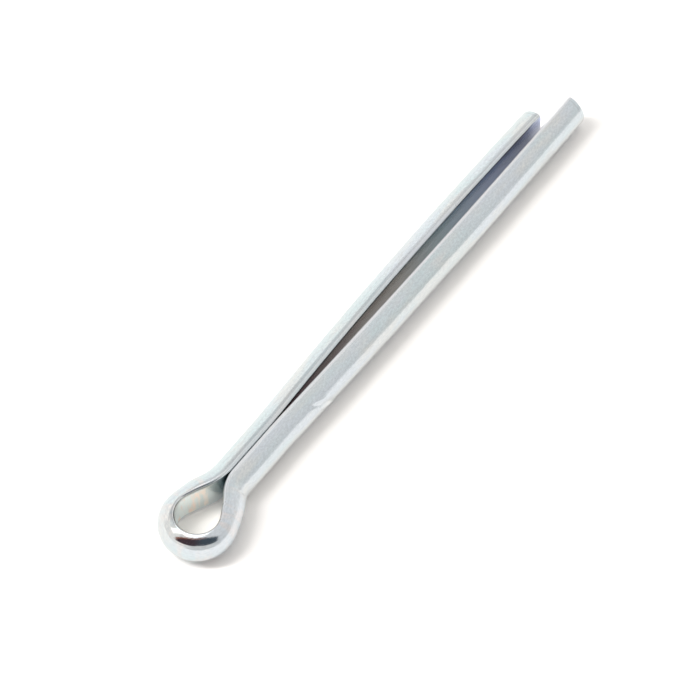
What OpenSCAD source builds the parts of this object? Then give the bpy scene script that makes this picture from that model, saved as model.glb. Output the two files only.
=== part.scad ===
// Split cotter pin, bent from one length of half-round wire.
// The pin lies flat: the eye, the shank and both legs are centred on Z = 0.
// X runs along the shank from the eye to the leg ends. The origin is on the
// shank's axis, where the two halves of the wire come together below the eye.
// All sizes are in millimetres and all angles in degrees.

/* [Wire] */
// Diameter of the closed shank, where the two flats of the wire meet
shank_d = 4.6; // [3.8:0.1:5.6]
// Radius on the two edges between the flat and the round side of the wire
edge_r = 0.32; // [0.15:0.01:0.5]
// Space that stays between the flats where the shank is closed
seam_gap = 0.04; // [0.02:0.01:0.1]

/* [Eye] */
// Inside diameter of the eye round its crown
eye_bore = 4.66; // [3.8:0.01:5.7]
// Thickness of the wire round the crown, where bending has thinned it
crown_t = 1.85; // [1.5:0.01:2.3]
// Distance that the eye sits off the shank's axis, towards the long leg
eye_offset = 0.34; // [0:0.01:0.6]
// Angle off the shank at which the crown ends on the short leg's side
short_crown_end = 69; // [60:1:80]
// The same angle on the long leg's side
long_crown_end = 65; // [60:1:80]
// Inside radius of the eye between the crown and the short leg's neck
short_side_r = 19.6; // [12:0.1:30]
// Inside radius of the eye between the crown and the long leg's neck
long_side_r = 14.6; // [10:0.1:25]
// Radius of the short leg's neck on the round side of the wire
short_neck_r = 5.3; // [2:0.1:7]
// Radius of the long leg's neck on the round side of the wire
long_neck_r = 2.5; // [1.5:0.1:4]

/* [Legs] */
// Nominal length, from where the eye seats on the hole to the end of the short leg
pin_length = 56; // [40:0.5:80]
// Diameter of the hole that the eye seats on
hole_d = 5; // [4.6:0.1:7]
// Length that the long leg stands out past the short one
leg_excess = 3.9; // [2:0.1:6]
// Length of the closed, straight stretch of the shank
closed_len = 5.6; // [4:0.1:12]
// Radius of the bend with which each leg springs away from the shank
spring_r = 92; // [40:1:150]
// Angle at which the short leg springs away
short_splay = 2.18; // [0.5:0.01:3]
// Angle at which the long leg springs away
long_splay = 1.64; // [0.5:0.01:3]
// Radius with which the short leg bows back to the axis
short_bow_r = 651; // [500:1:2500]
// Radius with which the long leg bows back to the axis
long_bow_r = 1493; // [500:1:2500]
// Radius on the round side of each cut end
tip_r = 0.2; // [0.1:0.05:1]

/* [Hidden] */
$fn = 96;
BOW_FN = 250;
SHANK_R = shank_d / 2;
HALF_GAP = seam_gap / 2;
WIRE_T = SHANK_R - HALF_GAP;
CROWN_FLAT_R = eye_bore / 2;
CROWN_ROUND_R = CROWN_FLAT_R + crown_t;
// An edge radius runs through this angle, then meets the round side in a fine line.
EDGE_SWEEP = 80;
EDGE_X = edge_r * (1 - cos(EDGE_SWEEP));
EDGE_Z = sqrt(SHANK_R ^ 2 - (EDGE_X + HALF_GAP) ^ 2) - edge_r * sin(EDGE_SWEEP);
// How far a blank or a cutter reaches past the faces that it makes, in mm and degrees.
OVER = 0.3;
PAST = 4;
BLANK_DEPTH = SHANK_R + OVER;
CUT_DEPTH = BLANK_DEPTH - crown_t + OVER;
// How much further along the shank a neck ends on the round side than on the flat.
NECK_LEAD = 0.08;

// One leg's side of the pin: how far the eye's centre lies from the shank's axis
// towards that leg, and the sizes of its half of the eye and of its bow.
SHORT = [-eye_offset, short_crown_end, short_side_r, short_neck_r, short_splay, short_bow_r];
LONG = [eye_offset, long_crown_end, long_side_r, long_neck_r, long_splay, long_bow_r];

function polar(r, a) = r * [cos(a), sin(a)];
function neat(angle) = round(angle * 100) / 100;

// An outline of the eye, the wire's flat or its round side, is a chain of arcs
// that run smoothly into each other: crown, side, neck, and the straight shank. It is
// [crown radius, angle at which the crown ends, neck radius, distance from the axis].
// The angles between arcs are neat, and the side's radius follows from them.
function flat_chain(side) = [CROWN_FLAT_R, side[1], side[3] + WIRE_T, HALF_GAP];
function round_chain(side) = [CROWN_ROUND_R, round_crown_end(side), side[3], SHANK_R];

function neck_plane(side) =
    let (r = side[3] + WIRE_T, rise = (side[2] - CROWN_FLAT_R) * sin(side[1]) - side[0])
    neat(asin((HALF_GAP + r + rise) / (side[2] + r)));
function side_r(side, c) =
    (c[3] + c[2] - side[0] - c[0] * sin(c[1]) - c[2] * sin(neck_plane(side)))
    / (sin(neck_plane(side)) - sin(c[1]));
function side_centre(side, c) = [0, side[0]] - polar(side_r(side, c) - c[0], c[1]);
function neck_centre(side, c) =
    side_centre(side, c) + polar(side_r(side, c) + c[2], neck_plane(side));

// The round side's arc touches the crown and a neck that ends just past the flat's.
function round_crown_end(side) =
    let (
        d = polar(-1, neck_plane(side)),
        neck = neck_centre(side, flat_chain(side)) + [NECK_LEAD, 0],
        a = neck - [0, side[0]] + side[3] * d,
        r = (CROWN_ROUND_R ^ 2 - a * a) / (2 * (a * d + CROWN_ROUND_R)),
        to_crown = -a - r * d
    )
    neat(atan2(to_crown[1], to_crown[0]));

// X of the crown's centre, with the last of the four necks ending at the origin.
EYE_X = -max([for (s = [SHORT, LONG], c = [flat_chain(s), round_chain(s)]) neck_centre(s, c)[0]]);
// X at which the short leg's neck rests on the rim of the hole.
NECK_RISE = min(max(hole_d / 2 - SHANK_R, 0), short_neck_r);
SEAT_X = EYE_X + neck_centre(SHORT, round_chain(SHORT))[0]
    - sqrt(short_neck_r ^ 2 - (short_neck_r - NECK_RISE) ^ 2);
SHORT_END = SEAT_X + pin_length;
LONG_END = SHORT_END + leg_excess;

// Moves by v in a coarse and a fine step, so that long radii keep their digits
// and neighbouring arcs meet face to face.
module place(v) {
    coarse = [for (x = v) round(x)];
    fine = [for (x = v) round(x * 1e4) / 1e4] - coarse;
    translate(coarse)
        translate(fine)
            translate(v - coarse - fine)
                children();
}

// Sweeps a section round a centre. The section's X = 0 runs at radius r.
module sweep(centre, r, from, to, fn = $fn) {
    place([centre[0], centre[1], 0])
        rotate_extrude(start = from, angle = to - from, $fn = fn)
            place([r, 0])
                children();
}

// What is cleared beyond the flat, towards -X, with the wire's two rounded edges.
module flat_side_2d(depth) {
    tall = SHANK_R + OVER;
    translate([-depth, -tall])
        square([depth, 2 * tall]);
    for (up = [0, 1])
        mirror([0, up])
            difference() {
                translate([0, EDGE_Z])
                    square([edge_r, tall - EDGE_Z]);
                translate([edge_r, EDGE_Z])
                    circle(edge_r);
            }
}

// The round side before the flat is cut: it touches X = 0 and lies towards -X.
module blank_2d() {
    translate([-SHANK_R, 0])
        intersection() {
            circle(SHANK_R);
            translate([-OVER, -SHANK_R])
                square([BLANK_DEPTH, 2 * SHANK_R]);
        }
}

// Section of the wire: flat on X = 0, round side towards +X.
module wire_2d(t) {
    difference() {
        translate([t, 0])
            blank_2d();
        flat_side_2d(BLANK_DEPTH);
    }
}

// Lays a section that was drawn in X and Y along the shank, from X = x0.
module along_shank(x0, length) {
    place([x0, 0, 0])
        rotate([90, 0, 90])
            linear_extrude(length)
                children();
}

// The wire from crown to shank, as a round blank with its flat cut away. The two
// outlines differ, so the wire swells from the thin crown to its full thickness.
module neck(side) {
    plane = neck_plane(side);
    blank = round_chain(side);
    flat = flat_chain(side);
    eye = [EYE_X, 0];
    blank_neck = eye + neck_centre(side, blank);
    flat_neck = eye + neck_centre(side, flat);
    difference() {
        union() {
            sweep(eye + side_centre(side, blank), side_r(side, blank), plane, blank[1])
                blank_2d();
            sweep(blank_neck, blank[2], plane + 180, 270)
                mirror([1, 0])
                    blank_2d();
            along_shank(blank_neck[0], closed_len + OVER - blank_neck[0])
                translate([SHANK_R, 0])
                    blank_2d();
        }
        sweep(eye + [0, side[0]], CROWN_FLAT_R, flat[1], blank[1] + PAST)
            flat_side_2d(CUT_DEPTH);
        sweep(eye + side_centre(side, flat), side_r(side, flat), plane, flat[1])
            flat_side_2d(CUT_DEPTH);
        sweep(flat_neck, flat[2], plane + 180, 270)
            mirror([1, 0])
                flat_side_2d(CUT_DEPTH);
        along_shank(flat_neck[0], closed_len + 2 * OVER - flat_neck[0])
            translate([HALF_GAP, 0])
                flat_side_2d(CUT_DEPTH);
        // The end is squared off where the leg carries on.
        along_shank(closed_len, 2 * OVER)
            square(2 * BLANK_DEPTH, center = true);
    }
}

// What is cleared round the end of a leg, which lies at X = 0.
module tip_cut() {
    core_r = SHANK_R - tip_r * sin(EDGE_SWEEP);
    translate([0, -HALF_GAP, 0])
        rotate([0, 90, 0])
            rotate_extrude()
                difference() {
                    translate([core_r, -tip_r])
                        square([SHANK_R + OVER - core_r, tip_r + OVER]);
                    translate([core_r, -tip_r])
                        circle(tip_r);
                }
}

// A leg from the closed shank to its cut end: it springs away, then bows back.
module leg(side, end_x) {
    splay = side[4];
    bow_r = side[5];
    spring_c = [closed_len, HALF_GAP + spring_r];
    bow_c = spring_c + polar(spring_r + bow_r, 270 + splay);
    end_turn = round(asin((end_x - bow_c[0]) / bow_r) * 1e4) / 1e4;
    end = bow_c + polar(bow_r, 90 - end_turn);
    difference() {
        union() {
            sweep(spring_c, spring_r, 270, 270 + splay)
                mirror([1, 0])
                    wire_2d(WIRE_T);
            sweep(bow_c, bow_r, 90 - end_turn, 90 + splay, BOW_FN)
                wire_2d(WIRE_T);
        }
        place([end[0], end[1], 0])
            rotate(-end_turn)
                tip_cut();
    }
}

// The far side of the eye, where the wire runs round from one leg to the other.
module crown() {
    sweep([EYE_X, -eye_offset], CROWN_FLAT_R, round_chain(SHORT)[1], 360 - round_chain(LONG)[1])
        wire_2d(crown_t);
}

module cotter_pin() {
    color("silver") {
        crown();
        neck(SHORT);
        leg(SHORT, SHORT_END);
        mirror([0, 1, 0]) {
            neck(LONG);
            leg(LONG, LONG_END);
        }
    }
}

cotter_pin();
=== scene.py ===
from math import acos, atan2, ceil, cos, degrees, exp, hypot, pi, radians, sin, sqrt

import bpy
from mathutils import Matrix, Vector, noise


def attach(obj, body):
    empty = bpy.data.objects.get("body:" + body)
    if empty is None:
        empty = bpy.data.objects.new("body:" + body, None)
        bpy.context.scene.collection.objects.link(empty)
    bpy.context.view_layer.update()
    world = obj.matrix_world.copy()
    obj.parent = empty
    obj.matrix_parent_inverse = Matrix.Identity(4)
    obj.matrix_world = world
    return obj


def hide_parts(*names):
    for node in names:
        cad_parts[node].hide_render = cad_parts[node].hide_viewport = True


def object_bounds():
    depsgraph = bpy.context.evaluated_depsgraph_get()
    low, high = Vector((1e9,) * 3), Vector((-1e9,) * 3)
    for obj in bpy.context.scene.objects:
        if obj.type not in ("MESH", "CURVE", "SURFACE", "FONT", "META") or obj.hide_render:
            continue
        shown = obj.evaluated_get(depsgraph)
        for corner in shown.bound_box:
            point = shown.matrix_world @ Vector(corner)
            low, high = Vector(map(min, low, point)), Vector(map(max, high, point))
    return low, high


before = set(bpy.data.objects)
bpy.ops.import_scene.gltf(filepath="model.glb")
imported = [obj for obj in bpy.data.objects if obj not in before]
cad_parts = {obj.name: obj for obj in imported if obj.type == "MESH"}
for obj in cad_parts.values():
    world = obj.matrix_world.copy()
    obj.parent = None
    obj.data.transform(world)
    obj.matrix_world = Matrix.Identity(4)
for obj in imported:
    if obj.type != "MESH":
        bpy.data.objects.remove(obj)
cad_box = [list(corner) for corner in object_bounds()]

# ---------------------------------------------------------------------------
# The pin: one length of drawn half-round steel wire, cut square at both ends.
# It is bent round a former into the eye and closed on itself below, so that
# its two flats meet. Beyond the closed shank the legs spring a little apart.
# ---------------------------------------------------------------------------
MM = 0.001

# The wire and its bends, in millimetres and degrees. A bend's radius is the flat's, but
# for neck_r, which is the round side's. The eye's middle lies "off" towards the leg.
SHANK_R = 2.3
HALF_GAP = 0.02
WIRE_T = SHANK_R - HALF_GAP
EDGE_R = 0.45
CROWN_EDGE_R = 0.50
EDGE_SWEEP = radians(80)
CROWN_FLAT_R = 2.33
CROWN_T = 1.85
SWELL_START = 89
EYE_OFFSET = 0.34
CLOSED_LEN = 5.6
SPRING_R = 92
LEG_EXCESS = 3.9
TIP_R = 0.2
SHORT_SIDE = {
    "off": -EYE_OFFSET,
    "crown_end": 69,
    "side_r": 19.6,
    "neck_r": 5.3,
    "splay": 2.18,
    "bow_r": 651,
}
LONG_SIDE = {
    "off": EYE_OFFSET,
    "crown_end": 65,
    "side_r": 14.6,
    "neck_r": 2.5,
    "splay": 1.64,
    "bow_r": 1493,
}

# How finely the mesh follows the wire: steps along it in mm, then counts of steps.
EYE_STEP = 0.08
NECK_STEP = 0.15
LEG_STEP = 0.2
SHANK_STEPS = 20
TIP_STEPS = 6
FLAT_STEPS = 6
EDGE_STEPS = 8
ROUND_STEPS = 28

eye_x = cad_box[0][0] / MM + CROWN_FLAT_R + CROWN_T
long_end_x = cad_box[1][0] / MM


def polar(r, angle):
    return Vector((r * cos(radians(angle)), r * sin(radians(angle))))


def arc(centre, r, start, end, facing, step):
    """Stations along an arc of the flat: each is its place and the way to the round side."""
    count = ceil(abs(radians(end - start)) * r / step)
    angles = [start + (end - start) * i / count for i in range(count)]
    return [(centre + polar(r, a), polar(facing, a)) for a in angles]


def half_wire(side, end_x):
    """Stations from the crown's middle to a leg's end, drawn as the upper half of the pin,
    then the last one, where the cut end's rounding starts, the distance at which the wire
    starts to swell, and the number of the station at which it has its full thickness."""
    side_r, bow_r = side["side_r"], side["bow_r"]
    eye = Vector((eye_x, side["off"]))
    side_c = eye - polar(side_r - CROWN_FLAT_R, side["crown_end"])
    neck_r = side["neck_r"] + WIRE_T
    neck_y = HALF_GAP + neck_r
    neck_x = side_c.x + sqrt((side_r + neck_r) ** 2 - (neck_y - side_c.y) ** 2)
    neck_c = Vector((neck_x, neck_y))
    neck_plane = degrees(atan2(neck_c.y - side_c.y, neck_c.x - side_c.x))
    eye_part = arc(eye, CROWN_FLAT_R, 180, side["crown_end"], 1, EYE_STEP)
    eye_part += arc(side_c, side_r, side["crown_end"], neck_plane, 1, NECK_STEP)
    neck = arc(neck_c, neck_r, neck_plane + 180, 270, -1, NECK_STEP)
    run = CLOSED_LEN - neck_c.x
    shank = [Vector((neck_c.x + run * i / SHANK_STEPS, HALF_GAP)) for i in range(SHANK_STEPS)]
    shank = [(place, Vector((0, 1))) for place in shank]
    spring_c = Vector((CLOSED_LEN, HALF_GAP + SPRING_R))
    bow_c = spring_c + polar(SPRING_R + bow_r, 270 + side["splay"])
    end = degrees(acos((end_x - TIP_R - bow_c.x) / bow_r))
    leg = arc(spring_c, SPRING_R, 270, 270 + side["splay"], -1, LEG_STEP)
    leg += arc(bow_c, bow_r, 90 + side["splay"], end, 1, LEG_STEP)
    tip = (bow_c + polar(bow_r, end), polar(1, end))
    swell_s = CROWN_FLAT_R * radians(180 - SWELL_START)
    return eye_part + neck + shank + leg, tip, swell_s, len(eye_part)


def section(t, r, edge_r):
    """The wire's outline, flat on x = 0 and t thick, from the middle of the flat round to it again."""
    mid = t - SHANK_R
    edge_x = edge_r * (1 - cos(EDGE_SWEEP)) + HALF_GAP
    edge_z = sqrt(r**2 - edge_x**2) - edge_r * sin(EDGE_SWEEP)
    reach = hypot(edge_r - mid, edge_z)
    turn = acos(max(-1, min(1, (r**2 - reach**2 - edge_r**2) / (2 * reach * edge_r))))
    last = atan2(edge_z, edge_r - mid) + turn
    meet = Vector((edge_r + edge_r * cos(last), edge_z + edge_r * sin(last)))
    top = atan2(meet.y, meet.x - mid)
    half = [(0, edge_z * i / FLAT_STEPS) for i in range(FLAT_STEPS)]
    sweep = [pi + (last - pi) * i / EDGE_STEPS for i in range(EDGE_STEPS)]
    half += [(edge_r + edge_r * cos(a), edge_z + edge_r * sin(a)) for a in sweep]
    sweep = [top * (1 - i / ROUND_STEPS) for i in range(ROUND_STEPS)]
    half += [(mid + r * cos(a), r * sin(a)) for a in sweep]
    return half + [(mid + r, 0)] + [(x, -z) for x, z in reversed(half[1:])]


def lay_half(side, end_x, flip):
    """Rings of one half, from the crown's middle, each with its distance along the wire.
    A ring lists its points, each with the way out of the wire there."""
    stations, (tip_place, tip_facing), swell_s, full = half_wire(side, end_x)
    along = [0]
    for (a, _), (b, _) in zip(stations, stations[1:]):
        along.append(along[-1] + (b - a).length)
    rows = []
    for (place, facing), s in zip(stations, along):
        part = max(0, min(1, (s - swell_s) / (along[full] - swell_s)))
        part = part * part * (3 - 2 * part)
        t = CROWN_T + (WIRE_T - CROWN_T) * part
        rows.append((place, facing, s, t, SHANK_R, CROWN_EDGE_R + (EDGE_R - CROWN_EDGE_R) * part))
    forward = Vector((tip_facing.y, -tip_facing.x))
    for i in range(TIP_STEPS + 1):
        a = radians(90 * i / TIP_STEPS)
        place = tip_place + forward * TIP_R * sin(a)
        r = SHANK_R - TIP_R * (1 - cos(a))
        rows.append((place, tip_facing, along[-1] + TIP_R * sin(a), WIRE_T, r, EDGE_R))
    mirrored = -1 if flip else 1
    rings = []
    for place, facing, s, t, r, edge_r in rows:
        ring = []
        for x, z in section(t, r, edge_r):
            p = place + facing * x
            from_middle = x - t + r
            out = Vector((facing.x * from_middle, mirrored * facing.y * from_middle, z)).normalized()
            ring.append((Vector((p.x, mirrored * p.y, z)), out))
        rings.append((ring, mirrored * s))
    return rings


long_half = lay_half(LONG_SIDE, long_end_x, True)
short_half = lay_half(SHORT_SIDE, long_end_x - LEG_EXCESS, False)
rings = long_half[:0:-1] + short_half
long_end_s = rings[0][1]
short_end_s = rings[-1][1]

# girth lists how far each point is round the wire from the middle of the flat. The flat
# ends at FLAT_V, its edge meets the round side at EDGE_V, and the round side's middle is
# at BACK_V. ROUND_R is the radius of a circle as long as the way round.
outline = [Vector(point) for point in section(WIRE_T, SHANK_R, EDGE_R)]
around = len(outline)
girth = [0]
for a, b in zip(outline, outline[1:] + outline[:1]):
    girth.append(girth[-1] + (a - b).length)
ROUND_R = girth[-1] / (2 * pi)
FLAT_V = girth[FLAT_STEPS]
EDGE_V = girth[FLAT_STEPS + EDGE_STEPS]
BACK_V = girth[-1] / 2

# A slanting scratch across the long leg, and the crease that the closing tool left at its
# neck. Each is a groove with a lip or two, given as the height, the place along and round
# the wire from the mark's own middle, and the length and width, in mm.
SCRATCH_X = 13.6
SCRATCH_SLANT = 0.65
SCRATCH = [
    (-0.12, 1.1, 0.0, 1.5, 0.28),
    (0.05, 1.1, -0.5, 1.3, 0.30),
    (0.07, 1.0, 0.45, 1.3, 0.30),
]
CREASE_X = -2.3
CREASE = [
    (0.08, 0.4, 0.0, 0.35, 1.2),
    (-0.13, -0.1, 0.0, 0.25, 1.2),
]
SCRATCH_S = next(s for ring, s in rings if ring[0][0].x < SCRATCH_X)
CREASE_S = next(s for ring, s in rings if ring[0][0].x < CREASE_X)
CREASE_V = BACK_V - 0.4

# The drawn wire's waves and ripples: how high they are, and how long and wide a wave is.
WAVE, RIPPLE = 0.030, 0.008
WAVE_LONG, WAVE_WIDE = 7, 2.4
# Over this distance from the flat the unevenness fades out, so that the flats stay apart.
FLAT_FADE = 0.6


def bump(s, v, middle_s, middle_v, length, width):
    """1 at a spot on the wire, fading over that length along it and that width round it."""
    return exp(-(((s - middle_s) / length) ** 2) - ((v - middle_v) / width) ** 2)


def unevenness(s, v, x):
    """How far the wire stands proud of its true round, in mm, at s along and v round it."""
    turn = v / ROUND_R
    spot = Vector((s / WAVE_LONG, cos(turn) * ROUND_R / WAVE_WIDE, sin(turn) * ROUND_R / WAVE_WIDE))
    proud = WAVE * noise.noise(spot) + RIPPLE * noise.noise(spot * 2.7 + Vector((5, 3, 1)))
    scratch_v = BACK_V - SCRATCH_SLANT * (s - SCRATCH_S)
    for height, ahead, aside, length, width in SCRATCH:
        proud += height * bump(s, v, SCRATCH_S + ahead, scratch_v + aside, length, width)
    for height, ahead, aside, length, width in CREASE:
        proud += height * bump(s, v, CREASE_S + ahead, CREASE_V + aside, length, width)
    return proud * min(1, x / FLAT_FADE)


points = []
for ring, s in rings:
    for (p, out), v, (x, _) in zip(ring, girth, outline):
        points.append((p + out * unevenness(s, v, x)) * MM)
faces, corners = [], []
for i in range(len(rings) - 1):
    near, far = i * around, (i + 1) * around
    s0, s1 = rings[i][1], rings[i + 1][1]
    for j in range(around):
        k = (j + 1) % around
        v0, v1 = girth[j], girth[j + 1]
        faces.append((near + j, far + j, far + k, near + k))
        corners += [(s0, v0), (s1, v0), (s1, v1), (s0, v1)]
last_ring = (len(rings) - 1) * around
cut_ends = (list(range(around)), [last_ring + j for j in reversed(range(around))])
for face, s in zip(cut_ends, (long_end_s, short_end_s)):
    faces.append(face)
    corners += [(s, girth[j % around]) for j in face]

pin_mesh = bpy.data.meshes.new("pin")
pin_mesh.from_pydata(points, [], faces)
pin_mesh.validate()
wire_map = pin_mesh.uv_layers.new(name="wire")
for corner, uv in zip(wire_map.uv, corners):
    corner.vector = uv
for face in pin_mesh.polygons:
    face.use_smooth = len(face.vertices) == 4
pin = bpy.data.objects.new("pin", pin_mesh)
bpy.context.scene.collection.objects.link(pin)


class Field:
    """A value or a colour in a material. Sums on values add the Math nodes that work them out."""

    def __init__(self, tree, socket=None):
        self.tree = tree
        self.socket = socket

    def node(self, kind, settings=None, sockets=None, out=0):
        """Adds a node with its settings, then its sockets' values or links, and gives one output."""
        made = self.tree.nodes.new(kind)
        for name, value in (settings or {}).items():
            if name == "stops":
                ramp = made.color_ramp.elements
                while len(ramp) < len(value):
                    ramp.new(1)
                for stop, (position, stop_colour) in zip(ramp, value):
                    stop.position = position
                    stop.color = (*stop_colour, 1)
            else:
                setattr(made, name, value)
        for name, value in (sockets or {}).items():
            if isinstance(value, Field):
                self.tree.links.new(value.socket, made.inputs[name])
            else:
                made.inputs[name].default_value = value
        return Field(self.tree, made.outputs[out]) if made.outputs else None

    def math(self, operation, *values):
        return self.node("ShaderNodeMath", {"operation": operation}, dict(enumerate(values)))

    def __add__(self, other):
        return self.math("ADD", self, other)

    def __abs__(self):
        return self.math("ABSOLUTE", self)

    def __sub__(self, other):
        return self.math("SUBTRACT", self, other)

    def __rsub__(self, other):
        return self.math("SUBTRACT", other, self)

    def __mul__(self, other):
        return self.math("MULTIPLY", self, other)

    __radd__ = __add__
    __rmul__ = __mul__

    def ramp(self, low, high):
        """0 below low, 1 above high, and smooth between."""
        sockets = {"Value": self, "From Min": low, "From Max": high}
        return self.node("ShaderNodeMapRange", {"interpolation_type": "SMOOTHSTEP"}, sockets)

    def colours(self, stops):
        """The colour at this value's place among the stops."""
        return self.node("ShaderNodeValToRGB", {"stops": stops}, {"Fac": self})

    def mix(self, first, second):
        """The first colour where this value is 0 and the second where it is 1."""
        return self.node("ShaderNodeMix", {"data_type": "RGBA"}, {0: self, 6: first, 7: second}, out=2)


def new_finish(name):
    finish = bpy.data.materials.new(name)
    finish.use_nodes = True
    finish.node_tree.nodes.clear()
    return finish, Field(finish.node_tree)


# Bright zinc plate: cool silver with a satin grain and burnished, rougher edges. Painted highlights
# lighten those edges, most on the long leg, and also one flank of the long leg. Painted shade lines
# darken the edge's seam and the start of each cut end, and the flats carry painted light and shade.
COOL_ZINC = (0.71, 0.80, 0.81, 1)
BLUE_ZINC = (0.75, 0.79, 0.835, 1)
WARM_ZINC = (0.80, 0.795, 0.77, 1)
SATIN_ZINC = (0.80, 0.83, 0.83, 1)
BLUSH_ZINC = (0.92, 0.80, 0.74, 1)
GRAIN_ZINC = (0.60, 0.63, 0.66, 1)
# A painted highlight, laid on one flank of the long leg.
FLANK_HIGHLIGHT_ZINC = (0.96, 0.96, 0.94, 1)
# Burnished wear on the edges, lightened further as a painted highlight.
BURNISHED_HIGHLIGHT_ZINC = (0.93, 0.93, 0.94, 1)
PEACH_FILM = (1.0, 0.80, 0.66, 1)
# Painted shade: dark lines along the edge's seam and near each cut end.
SHADE_LINE_GREY = (0.40, 0.41, 0.45, 1)
# The thin film's tints on the flats, from the crown's middle to the end of the short leg. Their
# lightness is painted light and shade: pale where the flats face the lit inside of the eye, dark along
# the gap where the legs shade each other.
FILM_AND_SHADE = [
    (0.00, (0.84, 1.0, 1.0)),
    (0.06, (0.95, 1.0, 0.97)),
    (0.10, (0.68, 0.71, 0.68)),
    (0.16, (0.46, 0.54, 0.58)),
    (0.26, (0.68, 0.53, 0.58)),
    (0.42, (0.57, 0.51, 0.50)),
    (0.62, (0.57, 0.54, 0.51)),
    (0.73, (0.46, 0.56, 0.60)),
    (0.88, (0.40, 0.46, 0.63)),
    (0.97, (0.36, 0.38, 0.50)),
    (1.00, (0.70, 0.73, 0.85)),
]
# How far the plate's lines and grain lift its surface, in metres.
GRAIN_HEIGHT = 0.00002

zinc, sheet = new_finish("zinc_plate")
wire = sheet.node("ShaderNodeUVMap", {"uv_map": "wire"})
along = sheet.node("ShaderNodeSeparateXYZ", {}, {"Vector": wire}, "X")
across = sheet.node("ShaderNodeSeparateXYZ", {}, {"Vector": wire}, "Y")
turn = across * (1 / ROUND_R)
coiled = {"X": along, "Y": turn.math("COSINE", turn) * ROUND_R, "Z": turn.math("SINE", turn) * ROUND_R}
in_wire = sheet.node("ShaderNodeCombineXYZ", {}, coiled)


def grain(length, width, detail, offset):
    """Noise that follows the wire: its features are that many mm long and wide."""
    scale = (1 / length, 1 / width, 1 / width)
    mapping = {"Vector": in_wire, "Location": (offset, 0, 0), "Scale": scale}
    place = sheet.node("ShaderNodeMapping", {"vector_type": "POINT"}, mapping)
    sockets = {"Vector": place, "Scale": 1, "Detail": detail}
    return sheet.node("ShaderNodeTexNoise", {"noise_dimensions": "3D"}, sockets)


clouds = grain(9, 3.0, 2, 3.7)
tints = grain(6, 2.0, 2, 8.2)
smears = grain(0.9, 0.35, 3, 2.2)
streaks = grain(0.7, 3.0, 3, 9.1)
mottle = grain(0.3, 0.2, 2, 6.3)
lines = grain(9, 0.16, 2, 5.5)

# Where on the wire: from_crown, from_flat and to_end are in mm, and each of the rest is 1
# on the place that it is named for and 0 away from it.
from_crown = abs(along)
from_flat = BACK_V - abs(across - BACK_V)
to_end = along.math("MINIMUM", along - long_end_s, short_end_s - along)
flat = 1 - from_flat.ramp(FLAT_V - 0.2, FLAT_V)
# Painted shade line where the edge's rounding meets the round side.
seam_shade = 1 - abs(from_flat - EDGE_V).ramp(0.02, 0.10)
edge = 1 - abs(from_flat - EDGE_V + 0.25).ramp(0.25, 0.4)
# Painted shade line just short of each cut end.
end_shade = 1 - abs(to_end - 0.30).ramp(0.0, 0.06)
long_leg = 1 - along.ramp(-12, -6)
# Where the painted highlight lies on the long leg's round side.
highlit_flank = long_leg * (1 - abs(across - BACK_V - 0.7).ramp(0.7, 1.3))
# Edge wear plus a painted highlight, stronger on the long leg: it roughens the edge and lightens its
# colour.
wear_and_highlight = edge * (0.3 + long_leg * 0.7)

round_side = clouds.ramp(0.35, 0.65).mix(COOL_ZINC, BLUE_ZINC)
round_side = (tints.ramp(0.45, 0.7) * 0.9).mix(round_side, WARM_ZINC)
round_side = (smears.ramp(0.35, 0.75) * 0.3).mix(round_side, SATIN_ZINC)
blush = streaks.ramp(0.45, 0.7) * (1 - from_crown.ramp(6, 10)) * 0.45
round_side = blush.mix(round_side, BLUSH_ZINC)
round_side = (mottle.ramp(0.3, 0.7) * 0.4).mix(round_side, GRAIN_ZINC)
# Painted highlight on the long leg's flank.
round_side = (highlit_flank * 0.9).mix(round_side, FLANK_HIGHLIGHT_ZINC)
# Edge wear and painted highlight on the edges.
round_side = wear_and_highlight.mix(round_side, BURNISHED_HIGHLIGHT_ZINC)
# The flats' film tints, with painted light and shade along the wire.
film_and_shade = (from_crown * (1 / short_end_s)).colours(FILM_AND_SHADE)
peach = streaks.ramp(0.47, 0.64) * 0.9 * (1 - from_crown.ramp(5, 9))
flats = peach.mix(film_and_shade, PEACH_FILM)
# Painted shade lines darken the seam and the cut ends.
colour = (seam_shade * 0.3 + end_shade * 0.3).mix(flat.mix(round_side, flats), SHADE_LINE_GREY)

# The wire is brightest round the crown, where bending has stretched it smooth.
roughness = 0.08 + from_crown.ramp(2.5, 5) * 0.09 + clouds.ramp(0.3, 0.7) * 0.06 + wear_and_highlight * 0.2
drawn = {"Strength": 0.3, "Distance": GRAIN_HEIGHT, "Height": lines}
drawn = sheet.node("ShaderNodeBump", {}, drawn)
plated = {"Strength": 0.25, "Distance": GRAIN_HEIGHT, "Height": mottle, "Normal": drawn}
plated = sheet.node("ShaderNodeBump", {}, plated)
shader = {"Base Color": colour, "Metallic": 1.0, "Roughness": roughness, "Normal": plated}
surface = sheet.node("ShaderNodeBsdfPrincipled", {}, shader)
sheet.node("ShaderNodeOutputMaterial", {}, {"Surface": surface})
pin_mesh.materials.append(zinc)
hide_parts("cotter_pin")
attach(pin, "root")

# ---------------------------------------------------------------------------
# The table: a smooth white board under the pin, lit so evenly that only the
# pin's own soft shadow shows on it. The pin's metal mirrors it as a pale grey.
# ---------------------------------------------------------------------------
TABLE_W = 3.0
TABLE_X = 0.024
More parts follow.
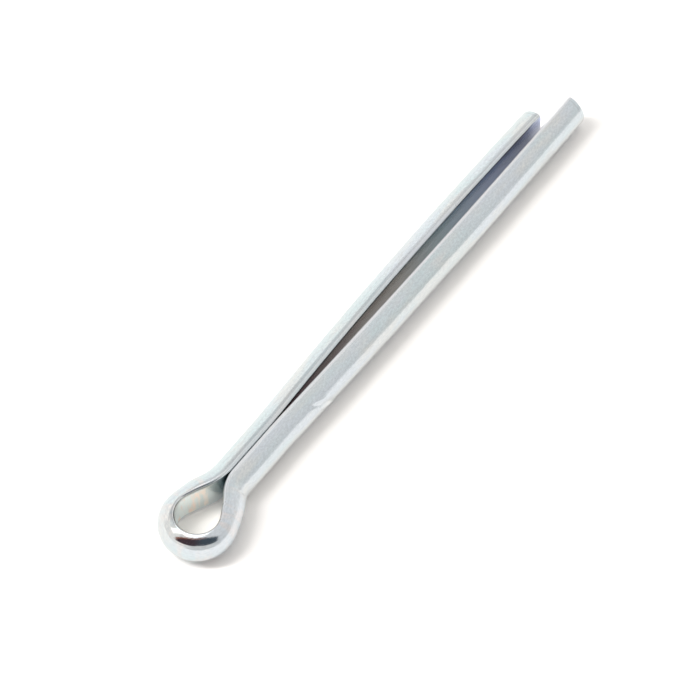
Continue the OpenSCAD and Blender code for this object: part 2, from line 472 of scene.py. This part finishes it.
# The board as it is seen, as it lights the pin from below, and as the pin's metal mirrors it.
BOARD_SEEN = (1.04, 1.01, 0.985, 1)
BOARD_BELOW = (0.80, 0.79, 0.775, 1)
BOARD_IN_METAL = (0.72, 0.72, 0.71, 1)
BOARD_GLOW = 0.15
table_z = cad_box[0][2]
bpy.ops.mesh.primitive_plane_add(size=TABLE_W, location=(TABLE_X, 0, table_z))
table = bpy.context.object
table.name = "table"
board, top = new_finish("white_board")
seen = top.node("ShaderNodeLightPath", {}, {}, "Is Camera Ray")
in_metal = top.node("ShaderNodeLightPath", {}, {}, "Is Glossy Ray")
white = seen.mix(in_metal.mix(BOARD_BELOW, BOARD_IN_METAL), BOARD_SEEN)
matt = top.node("ShaderNodeBsdfDiffuse", {}, {"Color": white})
glow = {"Color": (1, 1, 1, 1), "Strength": in_metal * BOARD_GLOW}
glow = top.node("ShaderNodeEmission", {}, glow)
matt_and_glow = top.node("ShaderNodeAddShader", {}, {0: matt, 1: glow})
top.node("ShaderNodeOutputMaterial", {}, {"Surface": matt_and_glow})
table.data.materials.append(board)

# ---------------------------------------------------------------------------
# The light: one long, narrow soft box high on the left. The pin's metal mirrors
# the room round it instead: a bright window and strip, a pale panel in a dark
# frame, and the dark shape of whoever stands before the table.
# ---------------------------------------------------------------------------
VIEW_AZIMUTH = 53.16
# Ways are right, away and up, as the viewer sees the table. Sizes are in metres.
LAMP_WAY = (-0.60, -0.07, 0.80)
LAMP_DISTANCE = 1.2
LAMP_SIZE = (0.16, 0.78)
LAMP_WATTS = 9.4
# The spot on the table that the lamps and the camera point at.
VIEW_MIDDLE = (0.0206, 0.00051)
middle = Vector((*VIEW_MIDDLE, table_z))


def from_viewer(right, away, up):
    """A way from the table, as the viewer sees it, turned into the pin's own axes."""
    a = radians(VIEW_AZIMUTH)
    return Vector((right * cos(a) + away * sin(a), away * cos(a) - right * sin(a), up))


def soft_box(name):
    lamp = bpy.data.lights.new(name, "AREA")
    lamp.shape = "RECTANGLE"
    lamp.size, lamp.size_y = LAMP_SIZE
    lamp.energy = LAMP_WATTS
    lamp_object = bpy.data.objects.new(name, lamp)
    bpy.context.scene.collection.objects.link(lamp_object)
    direction = from_viewer(*LAMP_WAY).normalized()
    lamp_object.location = middle + direction * LAMP_DISTANCE
    lamp_object.rotation_euler = direction.to_track_quat("Z", "Y").to_euler()
    return lamp_object


# The metal doesn't mirror the lamp, because it mirrors the room's window in its place.
direct = soft_box("window_light")
direct.visible_glossy = False

# The same lamp again, only for what the pin's metal throws on to the table inside the eye.
thrown = soft_box("window_light_off_metal")
thrown.visible_diffuse = False
thrown.data.use_nodes = True
thrown.data.node_tree.nodes.clear()
beam = Field(thrown.data.node_tree)
bounced = beam.node("ShaderNodeLightPath", {}, {}, "Diffuse Depth").ramp(0, 1)
shine = beam.node("ShaderNodeEmission", {}, {"Strength": bounced})
beam.node("ShaderNodeOutputLight", {}, {"Surface": shine})

WALL_LOW = (0.69, 0.70, 0.70, 1)
WALL_HIGH = (0.78, 0.785, 0.785, 1)
LEFT_WALL = (0.92, 0.92, 0.91, 1)
FAR_WALL = (0.86, 0.86, 0.85, 1)
SHADED_WALL = (0.58, 0.58, 0.59, 1)
FRAME_GREY = (0.63, 0.63, 0.65, 1)
PANEL_WHITE = (1.07, 1.07, 1.06, 1)
WINDOW_WHITE = (1.75, 1.75, 1.72, 1)
VIEWER_LEFT = (0.06, 0.04, 0.05, 1)
VIEWER_RIGHT = (0.06, 0.08, 0.10, 1)
VIEWER_RIM = (0.30, 0.12, 0.08, 1)

world = bpy.data.worlds.new("room")
world.use_nodes = True
world.node_tree.nodes.clear()
bpy.context.scene.world = world
room = Field(world.node_tree)
sky = room.node("ShaderNodeTexCoord", {}, {}, "Generated")


def pointing(right, away, up):
    """How squarely a ray from the table points that way, as the viewer sees it."""
    ways = {0: sky, 1: from_viewer(right, away, up).normalized()}
    return room.node("ShaderNodeVectorMath", {"operation": "DOT_PRODUCT"}, ways, "Value")


height = pointing(0, 0, 1)
sideways = pointing(1, 0, 0)
toward = pointing(0, -1, 0)
overhead = pointing(-0.14, -0.03, 1).ramp(0.905, 0.925)
strip = (1 - abs(toward - 0.11).ramp(0.08, 0.15)) * (1 - sideways.ramp(-0.3, -0.1))
window = overhead.math("MAXIMUM", overhead, strip * height.ramp(0.48, 0.60))
left = pointing(-1, 0, 0).ramp(0.2, 0.6) * (1 - height.ramp(0.60, 0.75))
beyond = pointing(0.6, 0.8, 0).ramp(0.6, 0.75) * (1 - height.ramp(0.6, 0.75))
shade = pointing(-0.43, 0.48, 0.77).ramp(0.92, 0.97)
back = pointing(-0.45, 0.89, 0).ramp(0.55, 0.75)
panel = back * (1 - height.ramp(0.50, 0.52))
frame_line = back * height.ramp(0.50, 0.52) * (1 - height.ramp(0.55, 0.58))
viewer = toward.ramp(0.40, 0.44) * (height + abs(sideways) * 0.18).ramp(0.38, 0.43)
viewer = viewer * (1 - abs(sideways + 0.03).ramp(0.74, 0.82))

walls = height.ramp(0.0, 0.7).mix(WALL_LOW, WALL_HIGH)
walls = left.mix(walls, LEFT_WALL)
walls = beyond.mix(walls, FAR_WALL)
walls = shade.mix(walls, SHADED_WALL)
walls = frame_line.mix(walls, FRAME_GREY)
walls = panel.mix(walls, PANEL_WHITE)
dark = sideways.ramp(-0.25, 0.25).mix(VIEWER_LEFT, VIEWER_RIGHT)
dark = (toward.ramp(0.44, 0.56) + sideways.ramp(0, 0.4)).mix(VIEWER_RIM, dark)
mirrored_room = window.mix(viewer.mix(walls, dark), WINDOW_WHITE)
seen = room.node("ShaderNodeLightPath", {}, {}, "Is Camera Ray")
backdrop = {"Color": seen.mix(mirrored_room, (1, 1, 1, 1)), "Strength": 1.0}
backdrop = room.node("ShaderNodeBackground", {}, backdrop)
room.node("ShaderNodeOutputWorld", {}, {"Surface": backdrop})

# ---------------------------------------------------------------------------
# The camera: a long lens, a little under half a metre away, looking down on
# the eye's side of the pin.
# ---------------------------------------------------------------------------
ELEVATION = 58.41
DISTANCE = 0.464
camera = bpy.data.cameras.new("camera")
camera.sensor_width = 36
camera.lens = 226.1
camera.clip_start = 0.01
camera_object = bpy.data.objects.new("camera", camera)
bpy.context.scene.collection.objects.link(camera_object)
to_camera = from_viewer(0, -cos(radians(ELEVATION)), sin(radians(ELEVATION)))
camera_object.location = middle + to_camera * DISTANCE
camera_object.rotation_euler = to_camera.to_track_quat("Z", "Y").to_euler()
bpy.context.scene.camera = camera_object
bpy.context.scene.view_settings.view_transform = "Standard"
